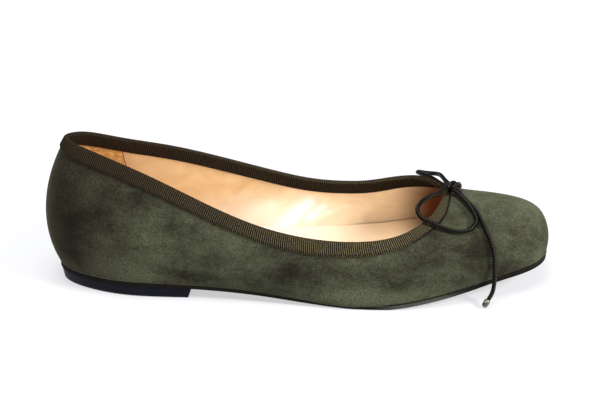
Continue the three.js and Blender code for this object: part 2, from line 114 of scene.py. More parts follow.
# The cord of the bow, as steps from the middle of the knot, repeated from the part's source
CORDS = {
    ("loop", "lateral"): [
        (-4.2, -2.6, 0), (-7.6, -6.6, -0.9), (-11, -8.9, -1.1), (-14, -11.9, -1.5), (-16.8, -15.8, -2.2),
        (-18.2, -20.2, -3.3), (-17.9, -24, -4.3), (-15.9, -27.1, -5.5), (-12.9, -28.7, -6.2),
        (-9.9, -29.8, -7.3), (-6.2, -30.6, -8.5), (-2.7, -31.5, -9.4), (1.7, -31.7, -9.8),
        (5.9, -30.3, -9.5), (8.5, -27.2, -8.4), (9.5, -23.8, -7), (8.9, -20.6, -5.7), (7.7, -17.2, -4.3),
        (6, -13.2, -2.9), (3.6, -8.8, -1.6), (1.4, -4.6, -0.8),
    ],
    ("loop", "medial"): [
        (-4.2, 2.8, 0.3), (-5.4, 6.6, -0.2), (-7, 11, -0.5), (-9.2, 15.4, -0.7), (-11.6, 19.6, -1.2),
        (-13.4, 23.6, -1.9), (-14.2, 27.2, -2.8), (-12.6, 30.5, -4), (-9.1, 31.7, -5), (-5.4, 30.3, -4.8),
        (-3.4, 26.8, -3.9), (-2.8, 22.8, -2.9), (-2.3, 18.8, -2.4), (-1.6, 14.6, -2.2), (-0.7, 10.8, -2),
        (-0.1, 7.4, -1.6), (0.2, 4.5, -0.9),
    ],
    ("end", "lateral"): [
        (3.9, -3, -1.9), (5.2, -6, -2.7), (6.7, -9.6, -3.4), (8.6, -13.2, -4.4), (10.3, -17.2, -5.6),
        (11.8, -22, -7.4), (13.1, -26.8, -9.5), (14.4, -31, -12), (15.9, -34.5, -15.4), (17, -36.5, -20.4),
        (17.5, -36.9, -26), (17.8, -37.2, -31.3), (17.6, -37.7, -35.5), (17.1, -38.3, -38),
        (16.1, -39.3, -39.8), (14.9, -40.5, -41.1),
    ],
    ("end", "medial"): [
        (4.2, 2.4, -0.9), (4.6, 5.4, -1.6), (4.9, 8.3, -2.3), (5.1, 11, -3), (5.3, 13.6, -3.9),
        (5.5, 16.2, -5), (6.2, 21, -7.7), (7, 26.4, -11.2), (7.8, 32.3, -16), (8.4, 36.9, -21.6),
        (8.8, 38.8, -27.5), (9, 39.6, -33), (8.6, 40, -36.6), (7.9, 41, -39.2), (7.1, 42.3, -40.8),
    ],
}

# Places round the foot are counted in sections from the back, and a nudge is a small step in them
SECTIONS = len(FOOTLINE)
FRONT = SECTIONS / 2
WALL_SAMPLES = 161
OUTLINE_SAMPLES = 2000
NUDGE = 0.01


# Shares and directions
def ramp(value, start, stop):
    """The share of the way from start to stop, kept between 0 and 1."""
    return np.clip((value - start) / (stop - start), 0, 1)


def eased(share):
    """A share that starts and ends its way gently."""
    return share * share * (3 - 2 * share)


def hump(distance):
    """A smooth hump: 1 at no distance, and 0 from a distance of 1 on."""
    return np.maximum(0, 1 - distance**2) ** 2


def unit(vectors):
    return vectors / np.linalg.norm(vectors, axis=-1, keepdims=True)


def run_along(points):
    """The distance from the first point to each one along a line."""
    return np.concatenate([[0], np.linalg.norm(np.diff(points, axis=0), axis=1).cumsum()])


def ring_directions(side, up, count):
    """Directions all round a line, from two directions across it."""
    turn = np.arange(count)[:, None] * 2 * np.pi / count
    return side[..., None, :] * np.cos(turn) + up[..., None, :] * np.sin(turn)


# The smooth closed curves through the sections' tables
def closed_weights(columns):
    count = len(columns)
    neighbours = np.roll(np.eye(count), 1, axis=1) + np.roll(np.eye(count), -1, axis=1)
    return np.linalg.solve((4 * np.eye(count) + neighbours) / 6, columns)


FOOT_WEIGHTS = closed_weights(FOOTLINE)
RIM_WEIGHTS = closed_weights(TOPLINE)


def at_place(weights, place):
    """The columns of a table at places round the foot."""
    place = np.asarray(place, float)
    row = np.floor(place).astype(int)
    t = (place - row)[..., None]
    blend = [(1 - t) ** 3, 3 * t**3 - 6 * t**2 + 4, -3 * t**3 + 3 * t**2 + 3 * t + 1, t**3]
    return sum(share / 6 * weights[(row + k - 1) % SECTIONS] for k, share in enumerate(blend))


def underside_column(column, share):
    """A column of the underside's table between its rows, without overshoot."""
    x, y = UNDERSIDE[:, 0], UNDERSIDE[:, column]
    rise = np.diff(y) / np.diff(x)
    slope = np.zeros(len(x))
    product = rise[:-1] * rise[1:]
    total = rise[:-1] + rise[1:]
    slope[1:-1] = np.where(product > 0, 2 * product / np.where(total == 0, 1, total), 0)
    k = np.clip(np.searchsorted(x, share), 1, len(x) - 1)
    span = x[k] - x[k - 1]
    t = ramp(share, x[k - 1], x[k])
    leaving = slope[k - 1] * span * t * (1 - t) ** 2
    arriving = slope[k] * span * t * t * (1 - t)
    return y[k - 1] * (1 - eased(t)) + y[k] * eased(t) + leaving - arriving


def outsole_bottom(x):
    share = x / SHOE_LENGTH
    return HEEL_HEIGHT * underside_column(1, share) + TOE_SPRING * underside_column(2, share)


def foot_height(x):
    return outsole_bottom(x) + OUTSOLE_THICKNESS + CLEARANCE


# The two edges of the upper's outer face
def foot_point(place):
    row = at_place(FOOT_WEIGHTS, place)
    x = row[..., 0] * SHOE_LENGTH
    return np.stack([x, row[..., 1] * HALF_BALL, foot_height(x)], -1)


def rim_point(place):
    row = at_place(RIM_WEIGHTS, place)
    height = row[..., 2] * COLLAR_HEIGHT + row[..., 3] * THROAT_HEIGHT
    return np.stack([row[..., 0] * SHOE_LENGTH, row[..., 1] * HALF_BALL, height], -1)


def outwards(edge, place):
    """The level direction that points out of the shoe at one of its edges."""
    along = edge(place + NUDGE) - edge(place - NUDGE)
    return unit(np.stack([along[..., 1], -along[..., 0], np.zeros(along.shape[:-1])], -1))


def foot_edge(place, margin):
    """The upper's bottom edge, moved outwards by a margin."""
    return foot_point(place) + outwards(foot_point, place) * margin


# The wall of the upper
def wall_controls(place):
    foot, rim = foot_point(place), rim_point(place)
    span = np.linalg.norm(rim - foot, axis=-1, keepdims=True)
    foot_row, rim_row = at_place(FOOT_WEIGHTS, place), at_place(RIM_WEIGHTS, place)
    foot_handle = outwards(foot_point, place) * foot_row[..., 2:3]
    foot_handle[..., 2] += foot_row[..., 3]
    rim_handle = outwards(rim_point, place) * rim_row[..., 4:5]
    rim_handle[..., 0] += rim_row[..., 5]
    rim_handle[..., 2] += rim_row[..., 6]
    return foot, foot + foot_handle * span, rim + rim_handle * span, rim


def wall_outside(place, share):
    """Points on the outer face, at each place and each of its shares up the wall."""
    controls = [c[:, None, :] for c in wall_controls(place)]
    t = share[..., None]
    blend = [(1 - t) ** 3, 3 * t * (1 - t) ** 2, 3 * t * t * (1 - t), t**3]
    return sum(b * c for b, c in zip(blend, controls))


def wall_rise(place, share):
    """The direction up the outer face."""
    a, b, c, d = [p[:, None, :] for p in wall_controls(place)]
    t = share[..., None]
    return unit((b - a) * (1 - t) ** 2 + 2 * (c - b) * t * (1 - t) + (d - c) * t * t)


def wall_normal(place, share):
    around = wall_outside(place + NUDGE, share) - wall_outside(place - NUDGE, share)
    return unit(np.cross(around, wall_rise(place, share)))


def wall(place, share, depth):
    """Points of the upper at a depth below its outer face."""
    depth = np.broadcast_to(depth, share.shape)[..., None]
    return wall_outside(place, share) - wall_normal(place, share) * depth


def share_at_drop(place, drop):
    """The share of the wall's curve at a distance below the rim, measured along the wall."""
    steps = np.linspace(0, 1, WALL_SAMPLES)
    points = wall_outside(place, np.broadcast_to(steps, (len(place), len(steps))))
    run = np.linalg.norm(np.diff(points, axis=1), axis=2)[:, ::-1].cumsum(axis=1)
    run = np.concatenate([np.zeros((len(place), 1)), run], axis=1)
    drop = np.broadcast_to(drop, place.shape)
    return np.array([np.interp(d, r, steps[::-1]) for d, r in zip(drop, run)])


def ribbon_reach(place):
    """The distance from the rim to the ribbon's edge, which is pulled narrower round the throat."""
    return RIBBON_DROP * (1 - THROAT_NARROWING * hump((place - FRONT) / THROAT_SECTIONS))


# From the shoe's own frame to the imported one
def frame_shift():
    """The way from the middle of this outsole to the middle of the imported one, seen from above."""
    low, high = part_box("outsole")
    packed = (np.array(low) + np.array(high)) / 2 / MM
    edge = foot_edge(np.linspace(0, SECTIONS, OUTLINE_SAMPLES), OUTSOLE_MARGIN)
    own = (edge.min(axis=0) + edge.max(axis=0)) / 2
    return (packed - own) * (1, 1, 0)


SHIFT = frame_shift()


def metres(points):
    return (np.asarray(points, float) + SHIFT) * MM


# Camera
CAMERA_ELEVATION = np.radians(23.0)
CAMERA_DISTANCE = 645.0
CAMERA_TARGET = (123.7, 0.0, 33.7)
CAMERA_LENS = 78.96
CAMERA_CLIP = 0.01


def add_object(name, data):
    made = bpy.data.objects.new(name, data)
    bpy.context.collection.objects.link(made)
    return made


def add_camera():
    data = bpy.data.cameras.new("camera")
    data.lens = CAMERA_LENS
    data.clip_start = CAMERA_CLIP
    camera = add_object("camera", data)
    back = Vector((0.0, -np.cos(CAMERA_ELEVATION), np.sin(CAMERA_ELEVATION)))
    camera.location = Vector(metres(CAMERA_TARGET)) + back * CAMERA_DISTANCE * MM
    aim(camera, -back)
    bpy.context.scene.camera = camera


def aim(thing, direction):
    thing.rotation_mode = "QUATERNION"
    thing.rotation_quaternion = direction.to_track_quat("-Z", "Y")


# Meshes
WELD_DISTANCE = 0.001
PIECES = []


def new_piece(name, points, faces, material, nodes=(), values=None):
    """A piece from points in the shoe's own frame, with the values that its material reads."""
    mesh = bpy.data.meshes.new(name)
    mesh.from_pydata(metres(points).reshape(-1, 3).tolist(), [], faces)
    mesh.validate()
    mesh.shade_smooth()
    mesh.materials.append(material)
    for label, numbers in (values or {}).items():
        attribute = mesh.attributes.new(label, "FLOAT", "POINT")
        numbers = np.broadcast_to(numbers, points.shape[:-1])
        attribute.data.foreach_set("value", numbers.astype(np.float32).ravel())
    piece = add_object(name, mesh)
    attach(piece, "root")
    if nodes:
        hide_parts(*nodes)
    PIECES.append(piece)
    return piece


def weld(piece):
    """Join points that lie together where a mesh closes up, and turn its faces outwards."""
    mesh = bmesh.new()
    mesh.from_mesh(piece.data)
    bmesh.ops.remove_doubles(mesh, verts=mesh.verts, dist=WELD_DISTANCE * MM)
    bmesh.ops.recalc_face_normals(mesh, faces=mesh.faces)
    mesh.to_mesh(piece.data)
    mesh.free()


def grid_faces(points, closed=False):
    """The faces between rings of points, and from the last ring to the first one too if closed."""
    rings, count = points.shape[:2]
    i = np.arange(rings if closed else rings - 1)
    i, k = [a.ravel() for a in np.meshgrid(i, np.arange(count), indexing="ij")]
    i2, k2 = (i + 1) % rings, (k + 1) % count
    return np.stack([i * count + k, i2 * count + k, i2 * count + k2, i * count + k2], -1).tolist()


def tube_faces(points):
    """The faces between rings of points, with one more over each end."""
    rings, count = points.shape[:2]
    faces = [face[::-1] for face in grid_faces(points)]
    faces.append(list(range(count)))
    faces.append([(rings - 1) * count + k for k in reversed(range(count))])
    return faces


def add_run(piece, u, v):
    """A UV for a closed grid. u and v have one value more than it has rings and points in a ring."""
    i, k = [a.ravel() for a in np.meshgrid(np.arange(len(u) - 1), np.arange(len(v) - 1), indexing="ij")]
    corners = [(i, k), (i + 1, k), (i + 1, k + 1), (i, k + 1)]
    uv = np.stack([np.stack([u[a], v[b]], -1) for a, b in corners], 1)
    piece.data.uv_layers.new(name="run").data.foreach_set("uv", uv.astype(np.float32).ravel())


# Colours, in pairs of a darker and a lighter one
SUEDE = ((0.020, 0.0185, 0.012), (0.064, 0.069, 0.041))
SHADED_COUNTER_SUEDE = ((0.011, 0.0080, 0.0052), (0.025, 0.021, 0.0135))
DULL_AND_SHADED_RIB = ((0.028, 0.017, 0.008), (0.078, 0.052, 0.026))
GOLD_RIB = ((0.055, 0.042, 0.02), (0.21, 0.175, 0.085))
THREAD = ((0.004, 0.003, 0.002), (0.016, 0.012, 0.008))
LINING = ((0.56, 0.33, 0.13), (0.78, 0.53, 0.28))
TOE_SHADE_LINING = ((0.125, 0.029, 0.005), (0.22, 0.057, 0.010))
HEEL_GRIP = ((0.39, 0.16, 0.026), (0.78, 0.46, 0.13))
SOLE_EDGE = ((0.003, 0.0022, 0.0018), (0.012, 0.009, 0.007))
WORN_AND_LIT_EDGE = ((0.03, 0.0285, 0.026), (0.085, 0.082, 0.076))
HEEL_RUBBER = ((0.0025, 0.003, 0.0058), (0.005, 0.006, 0.011))
CORD_AND_CREST_HIGHLIGHT = ((0.0008, 0.0006, 0.0004), (0.115, 0.095, 0.066))
CORD_TIP = ((0.006, 0.006, 0.003), (0.15, 0.17, 0.085))

# Single colours
SUEDE_GAP_SHADE = (0.003, 0.003, 0.002)
RIB_GROOVE_SHADE = (0.004, 0.0025, 0.0015)
RIBBON_EDGE_SHADE = (0.006, 0.004, 0.003)
FRONT_LINING_LIGHT = (1.0, 0.76, 0.47)
LINING_VEIN = (0.50, 0.28, 0.11)
GRIP_EDGE = (0.09, 0.04, 0.015)

# The sock, its warm front, painted glare, painted highlight streaks and the sock's edge, one over the other
LINING_TONES = [
    ("sock", (0.95, 0.73, 0.49)), ("warm", (0.95, 0.60, 0.26)), ("painted_glare", (0.82, 0.66, 0.52)),
    ("streak_highlight", (0.88, 0.80, 0.71)), ("edge", (0.30, 0.15, 0.06)),
]

# The heel grip's seam: its place on either side of the back, its half width and its soft edge
GRIP_PLACE = 2.88
GRIP_SEAM = 0.014
GRIP_SOFT = 0.006


class Shader:
    """A material with one Principled shader, and short ways to add nodes before it."""

    def __init__(self, name, roughness, specular, others=None):
        self.material = bpy.data.materials.new(name)
        self.material.use_nodes = True
        self.tree = self.material.node_tree
        self.surface = self.tree.nodes["Principled BSDF"]
        values = {"Roughness": roughness, "Specular IOR Level": specular, **(others or {})}
        for socket, value in values.items():
            self.surface.inputs[socket].default_value = value

    def node(self, kind, inputs=None, **settings):
        made = self.tree.nodes.new(kind)
        for setting, value in settings.items():
            setattr(made, setting, value)
        for socket, value in (inputs or {}).items():
            if isinstance(value, bpy.types.NodeSocket):
                self.tree.links.new(value, made.inputs[socket])
            else:
                made.inputs[socket].default_value = value
        return made

    def place(self):
        return self.node("ShaderNodeTexCoord").outputs["Object"]

    def value(self, name):
        return self.node("ShaderNodeAttribute", attribute_name=name).outputs["Fac"]

    def noise(self, size, detail, roughness, distortion=0.0, where=None, stretch=None):
        """Noise whose largest features are about size millimetres across."""
        where = where or self.place()
        if stretch:
            where = self.node("ShaderNodeMapping", {"Vector": where, "Scale": stretch}).outputs["Vector"]
        inputs = {"Vector": where, "Scale": 1 / (size * MM), "Detail": detail, "Roughness": roughness}
        return self.node("ShaderNodeTexNoise", {**inputs, "Distortion": distortion}).outputs["Fac"]

    def maths(self, operation, *values):
        return self.node("ShaderNodeMath", dict(enumerate(values)), operation=operation).outputs["Value"]

    def span(self, value, low, high, to_low=0.0, to_high=1.0):
        """A value from low to high, moved to another span and kept in it."""
        inputs = {"Value": value, "From Min": low, "From Max": high, "To Min": to_low, "To Max": to_high}
        return self.node("ShaderNodeMapRange", inputs, clamp=True).outputs["Result"]

    def mix(self, share, a, b, blend="MIX"):
        a, b = [c if isinstance(c, bpy.types.NodeSocket) else (*c, 1.0) for c in (a, b)]
        inputs = {0: share, 6: a, 7: b}
        return self.node("ShaderNodeMix", inputs, data_type="RGBA", blend_type=blend).outputs[2]

    def set(self, socket, source):
        self.tree.links.new(source, self.surface.inputs[socket])

    def finished(self, colour, height=None, distance=0.0, strength=0.0):
        """The material with its colour, and with a bump where a height is given."""
        self.set("Base Color", colour)
        if height:
            inputs = {"Height": height, "Distance": distance * MM, "Strength": strength}
            self.set("Normal", self.node("ShaderNodeBump", inputs).outputs["Normal"])
        return self.material


# Materials. A shader's numbers are its roughness and specular level, and a noise's are its size in
# millimetres, detail, roughness and distortion.
def suede_material():
    """Short nap brushed into lighter greenish clouds and darker brown ones; the counter at the back is
    browner, and darker there partly as painted shade, and the patches hold a painted cord shadow and a
    painted highlight on the vamp's top.
    """
    sheen = {"Sheen Weight": 0.12, "Sheen Roughness": 0.4, "Sheen Tint": (0.75, 0.78, 0.5, 1.0)}
    shader = Shader("suede", 1.0, 0.05, sheen)
    clouds = shader.noise(24, 4, 0.6, 0.5)
    brushed = shader.noise(9, 5, 0.7, 0.3, stretch=(0.8, 1, 1.3))
    strokes = shader.noise(3.6, 3, 0.6, 0.6, stretch=(0.7, 1, 1.2))
    nap = shader.noise(0.9, 3, 0.9)
    patches = shader.value("patches")
    mottle = shader.maths("MULTIPLY", clouds, 0.42)
    for field, share in ((brushed, 0.4), (strokes, 0.18), (patches, 0.12)):
        mottle = shader.maths("ADD", mottle, shader.maths("MULTIPLY", field, share))
    lit = shader.span(mottle, 0.375, 0.63)
    # Browner suede at the back, darker there partly as painted shade
    tone = shader.mix(shader.value("brown"), shader.mix(lit, *SUEDE), shader.mix(lit, *SHADED_COUNTER_SUEDE))
    # Painted shade in the space between the suede's edge and the sole
    tone = shader.mix(shader.value("gap_shade"), tone, SUEDE_GAP_SHADE)
    speckle = shader.span(nap, 0.32, 0.68, 0.45, 1.55)
    speckle = shader.maths("MULTIPLY", speckle, shader.span(patches, -1.4, 1.6, 0.74, 1.25))
    grey = shader.node("ShaderNodeCombineColor", {"Red": speckle, "Green": speckle, "Blue": speckle})
    tone = shader.mix(1.0, tone, grey.outputs["Color"], "MULTIPLY")
    return shader.finished(tone, shader.noise(0.45, 4, 0.75), 0.2, 0.7)


def ribbon_material():
    """Ribs with painted shade in their grooves and a painted highlight on the threads of their crests."""
    shader = Shader("grosgrain", 0.7, 0.08)
    run = shader.node("ShaderNodeUVMap", uv_map="run").outputs["UV"]
    weave = shader.span(shader.noise(0.6, 2, 0.6, where=run, stretch=(0.5, 1, 1)), 0.3, 0.7)
    # Gold ribs on the outer face toward the front; the inner face stays dull and darker as painted shade
    crest = shader.mix(shader.value("gold_and_inner_shade"), shader.mix(weave, *DULL_AND_SHADED_RIB), shader.mix(weave, *GOLD_RIB))
    # Painted shade in the grooves between the ribs
    tone = shader.mix(shader.span(shader.value("rib"), 0.5, 1.0), RIB_GROOVE_SHADE, crest)
    # Painted shade along the ribbon's lower edge round the throat
    tone = shader.mix(shader.span(shader.value("ribbon_edge_shade"), 0.1, 0.5), tone, RIBBON_EDGE_SHADE)
    return shader.finished(tone, weave, 0.08, 0.5)


def lining_material():
    """Smooth glazed leather, with a suede grip at the heel, painted light toward the front and painted shade
    in the toe.
    """
    shader = Shader("lining", 0.5, 0.5, {"Coat Weight": 0.6, "Coat Roughness": 0.3})
    veins = shader.noise(7, 3, 0.6, 1.2, stretch=(0.35, 1, 1))
    leather = shader.mix(shader.span(shader.noise(35, 4, 0.6, 0.5), 0.35, 0.65), *LINING)
    # Painted light: the lining is lighter toward the front
    leather = shader.mix(shader.value("front"), leather, FRONT_LINING_LIGHT)
    leather = shader.mix(shader.span(veins, 0.35, 0.75, 0.0, 0.35), leather, LINING_VEIN)
    for name, colour in LINING_TONES:
        leather = shader.mix(shader.value(name), leather, colour)
    # Painted shade deep in the toe
    dark = shader.mix(shader.span(veins, 0.3, 0.7), *TOE_SHADE_LINING)
    leather = shader.mix(shader.value("toe"), leather, dark)
    grip = shader.mix(shader.span(shader.noise(2.2, 4, 0.8), 0.35, 0.65), *HEEL_GRIP)
    around = shader.value("around")
    in_grip = shader.span(around, GRIP_PLACE - GRIP_SOFT, GRIP_PLACE + GRIP_SOFT, 1.0, 0.0)
    leather = shader.mix(in_grip, leather, grip)
    from_seam = shader.maths("ABSOLUTE", shader.maths("SUBTRACT", around, GRIP_PLACE))
    seam = shader.span(from_seam, GRIP_SEAM * 0.6, GRIP_SEAM, 1.0, 0.0)
    shader.set("Roughness", shader.span(in_grip, 0.0, 1.0, 0.34, 0.9))
    return shader.finished(shader.mix(seam, leather, GRIP_EDGE), shader.noise(0.8, 3, 0.6), 0.05, 0.3)


def sole_material():
    """Dyed leather with fine streaks along its cut edge, and greyer at the ball, partly from wear and partly
    as a painted highlight.
    """
    shader = Shader("outsole", 0.6, 0.05)
    streaks = shader.noise(4, 4, 0.65, stretch=(0.4, 0.4, 3))
    dark, worn_and_lit = shader.mix(streaks, *SOLE_EDGE), shader.mix(streaks, *WORN_AND_LIT_EDGE)
    tone = shader.mix(shader.value("worn_and_lit"), dark, worn_and_lit)
    return shader.finished(tone, shader.noise(0.6, 3, 0.6), 0.06, 0.5)


def heel_material():
    shader = Shader("heel", 0.45, 0.08)
    tone = shader.mix(shader.noise(12, 4, 0.6), *HEEL_RUBBER)
    return shader.finished(tone, shader.noise(0.5, 3, 0.6), 0.03, 0.4)


def cord_material():
    """Waxed cord, with a painted highlight on the crests of its braid."""
    shader = Shader("cord", 0.35, 0.1)
    tone = shader.mix(shader.span(shader.value("braid"), 0.55, 1.0), *CORD_AND_CREST_HIGHLIGHT)
    return shader.finished(tone, shader.noise(0.3, 2, 0.6), 0.05, 0.5)


def tip_material():
    """Clear greenish plastic over the dark end of the cord."""
    gloss = {"Coat Weight": 0.6, "Coat Roughness": 0.1, "Transmission Weight": 0.3}
    shader = Shader("tip", 0.2, 0.5, gloss)
    clouds = shader.noise(1.6, 3, 0.6)
    return shader.finished(shader.mix(shader.span(clouds, 0.42, 0.6), *CORD_TIP))


def thread_material():
    shader = Shader("ribbon_thread", 0.7, 0.1)
    return shader.finished(shader.mix(shader.noise(0.4, 2, 0.55), *THREAD))


# The upper: suede outside, leather lining inside. Steps go up the wall to the ribbon's edge, and rim steps
# on to the rim. Hidden faces have a point at every third step.
WALL_COLUMNS = SECTIONS * 18
SUEDE_STEPS = 54
SUEDE_RIM_STEPS = 6
LINING_STEPS = 40
LINING_RIM_STEPS = 4
HIDDEN_STEP = 3
SUEDE_THICKNESS = 0.9
LAYER_GAP = 0.02

# The suede's lowest steps roll down over the edge of the sole, most at the ball
ROLLED_STEPS = 4
ROLL_POWER = 1.5
BALL_ROLL = 0.75
BALL_PLACE = 7.2
BALL_SECTIONS = 1.15
OVERHANG = 0.05

# Where the suede's edge parts from the sole on the outer side, in sections, with painted shade on its lowest
# steps there
PARTED_PLACES = (8.1, 10.2)
PARTED_FADE = 0.25
PARTED_STEPS = 2

# Where colours, painted shade and painted light change, from none to all, in millimetres from the back
BROWN_AND_SHADE_FADE = (58.0, 12.0)
TOE_SHADE_FADE = (170.0, 194.0)
FRONT_LIGHT_FADE = (95.0, 155.0)

# The painted highlight of glare on the leather, low down in the middle of the shoe
GLARE_MIDDLE = 105.0
GLARE_REACH = 46.0
GLARE_HEIGHTS = (35.0, 17.0)
GLARE_MOST = 0.75

# Creases of the lining on the inner side: both ends as shares of the length and of the collar's height, and
# the width and height of the ridge in millimetres
LINING_CREASES = [
    ((0.475, 0.16), (0.545, 0.34), 3.0, 1.0), ((0.525, 0.16), (0.59, 0.26), 2.2, 0.6),
    ((0.43, 0.2), (0.47, 0.42), 4.0, 0.7), ((0.36, 0.42), (0.44, 0.52), 3.5, -0.6),
    ((0.62, 0.22), (0.68, 0.3), 3.0, 0.5),
]

# Painted highlight streaks on the lining beside its creases: both ends as above, and the width in
# millimetres
LINING_HIGHLIGHT_STREAKS = [
    ((0.46, 0.17), (0.52, 0.33), 3.4), ((0.52, 0.22), (0.55, 0.29), 2.0),
]

# Patches where the nap is brushed lighter or darker, and one patch of painted shadow of the cord: x and
# height as shares as above, the reach along and up in millimetres, and how much lighter
SUEDE_PATCHES = [
    (0.13, 0.24, 17, 8, 1.5), (0.215, 0.5, 12, 12, 0.8), (0.365, 0.44, 17, 6, 0.5), (0.64, 0.33, 12, 7, 0.3),
    (0.61, 0.09, 24, 5, 1.9), (0.97, 0.24, 6, 5, 0.7), (0.42, 0.3, 9, 5, 0.7), (0.24, 0.33, 8, 5, 0.7),
    (0.26, 0.52, 9, 4, -0.7), (0.34, 0.3, 7, 4, -0.6), (0.1, 0.6, 8, 5, -0.5), (0.12, 0.42, 10, 6, 0.6),
    (0.185, 0.165, 13, 4, 1.2), (0.06, 0.5, 9, 12, -0.6), (0.055, 0.27, 7, 4, -1.6),
    (0.07, 0.2, 5, 2.5, -0.9), (0.31, 0.17, 11, 4, -1.1), (0.49, 0.28, 18, 11, -0.7),
    # The patch at 0.84, 0.33 is painted shadow of the bow's hanging cord on the vamp
    (0.195, 0.69, 14, 6, -0.6), (0.75, 0.39, 13, 9, -0.6), (0.84, 0.33, 9, 10, -1.2), (0.9, 0.2, 8, 5, -0.8),
    (0.69, 0.2, 12, 7, -0.6),
]
PATCH_SIDE_FADE = 8.0

# Painted highlight on the top of the vamp, lighter where light falls from above
VAMP_HIGHLIGHT_FADE = (188.0, 200.0)
VAMP_HIGHLIGHT_HEIGHTS = (28.0, 35.0)
VAMP_TOP_HIGHLIGHT = 0.45


def wall_columns(steps, rim_steps):
    """Places all round the foot, and for each of them the shares up the wall."""
    place = np.arange(WALL_COLUMNS) * SECTIONS / WALL_COLUMNS
    edge = share_at_drop(place, ribbon_reach(place))
    below = np.linspace(0, edge, steps + 1, axis=1)
    above = np.linspace(edge, 1, rim_steps + 1, axis=1)
    return place, np.concatenate([below, above[:, 1:]], axis=1)


def suede_upper():
    place, up = wall_columns(SUEDE_STEPS, SUEDE_RIM_STEPS)
    outer = wall_outside(place, up)
    outer[:, :ROLLED_STEPS] += rolled_edge(place)
    down = up[:, ::-HIDDEN_STEP]
    depth = np.full_like(down, SUEDE_THICKNESS)
    depth[:, 0] = RIM_WALL / 2
    sections = np.concatenate([outer, wall(place, down, depth)], axis=1)
    # The lowest steps where the suede parts from the sole get painted shade
    gap_shade = np.zeros(sections.shape[:2])
    gap_shade[:, :PARTED_STEPS] = parted_share(place)[:, None]
    values = {"brown": ramp(sections[..., 0], *BROWN_AND_SHADE_FADE), "patches": nap_patches_and_light(sections), "gap_shade": gap_shade}
    faces = grid_faces(sections, closed=True)
    new_piece("suede_upper", sections, faces, suede_material(), ["upper"], values)


def parted_share(place):
    """Where the suede's edge stands a little clear of the sole, with painted shade on its lowest steps where
    they part.
    """
    inside = np.minimum(place - PARTED_PLACES[0], PARTED_PLACES[1] - place)
    return ramp(inside, 0, PARTED_FADE)


def rolled_edge(place):
    """How far the suede's lowest steps move."""
    roll = np.linspace(1, 0, ROLLED_STEPS)[None, :, None] ** ROLL_POWER
    at_ball = np.exp(-(((place - BALL_PLACE) / BALL_SECTIONS) ** 2))
    move = outwards(foot_point, place) * (OUTSOLE_MARGIN + OVERHANG) * at_ball[:, None]
    move[:, 2] = -CLEARANCE * (1 - parted_share(place)) - BALL_ROLL * at_ball
    return move[:, None, :] * roll


def nap_patches_and_light(points):
    """The brushed patches with a painted cord shadow among them, the other way round on the inner side, and
    a painted highlight on the top of the vamp.
    """
    tone = np.zeros(points.shape[:-1])
    for x, height, along, up, lightness in SUEDE_PATCHES:
        away = ((points[..., 0] - x * SHOE_LENGTH) / along) ** 2
        away += ((points[..., 2] - height * COLLAR_HEIGHT) / up) ** 2
        tone += lightness * np.exp(-away)
    side = np.clip(-points[..., 1] / PATCH_SIDE_FADE, -1, 1)
    vamp_top_highlight = ramp(points[..., 0], *VAMP_HIGHLIGHT_FADE) * ramp(points[..., 2], *VAMP_HIGHLIGHT_HEIGHTS)
    return tone * side + VAMP_TOP_HIGHLIGHT * vamp_top_highlight


def lining():
    place, up = wall_columns(LINING_STEPS, LINING_RIM_STEPS)
    to_rim = np.append(np.zeros(LINING_STEPS), np.linspace(0, 1, LINING_RIM_STEPS + 1))
    near = SUEDE_THICKNESS + (RIM_WALL / 2 - SUEDE_THICKNESS) * to_rim + LAYER_GAP
    deep = UPPER_WALL + (RIM_WALL - UPPER_WALL) * to_rim + lining_creases(wall_outside(place, up))
    outer = wall(place, up[:, ::HIDDEN_STEP], near[::HIDDEN_STEP])
    inner = wall(place, up[:, ::-1], deep[:, ::-1])
    sections = np.concatenate([outer, inner], axis=1)
    x = sections[..., 0]
    values = {
        "around": np.minimum(place, SECTIONS - place)[:, None],
        "toe": toe_shade_share(x),
        "painted_glare": glare_share(sections),
        "streak_highlight": sum(near_line(sections, *streak_highlight) for streak_highlight in LINING_HIGHLIGHT_STREAKS).clip(0, 1),
        # Painted light toward the front of the lining
        "front": ramp(x, *FRONT_LIGHT_FADE),
    }
    faces = grid_faces(sections, closed=True)
    new_piece("lining", sections, faces, lining_material(), values=values)


def toe_shade_share(x):
    """How deep in the painted shade of the lining's toe a point lies."""
    return eased(ramp(x, *TOE_SHADE_FADE))


def glare_share(points):
    """How strong the painted glare on the leather is."""
    along = np.exp(-(((points[..., 0] - GLARE_MIDDLE) / GLARE_REACH) ** 2))
    return GLARE_MOST * along * eased(ramp(points[..., 2], *GLARE_HEIGHTS))


def near_line(points, start, stop, width):
    """How near points of the inner side lie to a line between two ends."""
    a = np.array(start) * (SHOE_LENGTH, COLLAR_HEIGHT)
    b = np.array(stop) * (SHOE_LENGTH, COLLAR_HEIGHT)
    flat = points[..., (0, 2)]
    share = np.clip(((flat - a) @ (b - a)) / ((b - a) @ (b - a)), 0, 1)
    away = np.linalg.norm(flat - (a + share[..., None] * (b - a)), axis=-1) / width
    return np.exp(-(away**2)) * (points[..., 1] > 0)


def lining_creases(points):
    """How far soft creases raise the lining of the inner side into the shoe."""
    return sum(height * near_line(points, *crease) for *crease, height in LINING_CREASES)


# The ribbon, with ribs square to the rim
RIB_PITCH = 0.95
RIB_HEIGHT = 0.18
COLUMNS_PER_RIB = 5
RIM_SAMPLES = 6001
LEG_STEPS = 7
FOLD_STEPS = 8
HIDDEN_LIFT = 0.2
GOLD_FADE = (40.0, 130.0)
BACK_NARROWING = 0.35
BACK_SECTIONS = 2.2

# Where the painted shade along the ribbon's lower edge fades out round the throat, in sections from its
# front
EDGE_SHADE_FADE = (4.2, 2.7)


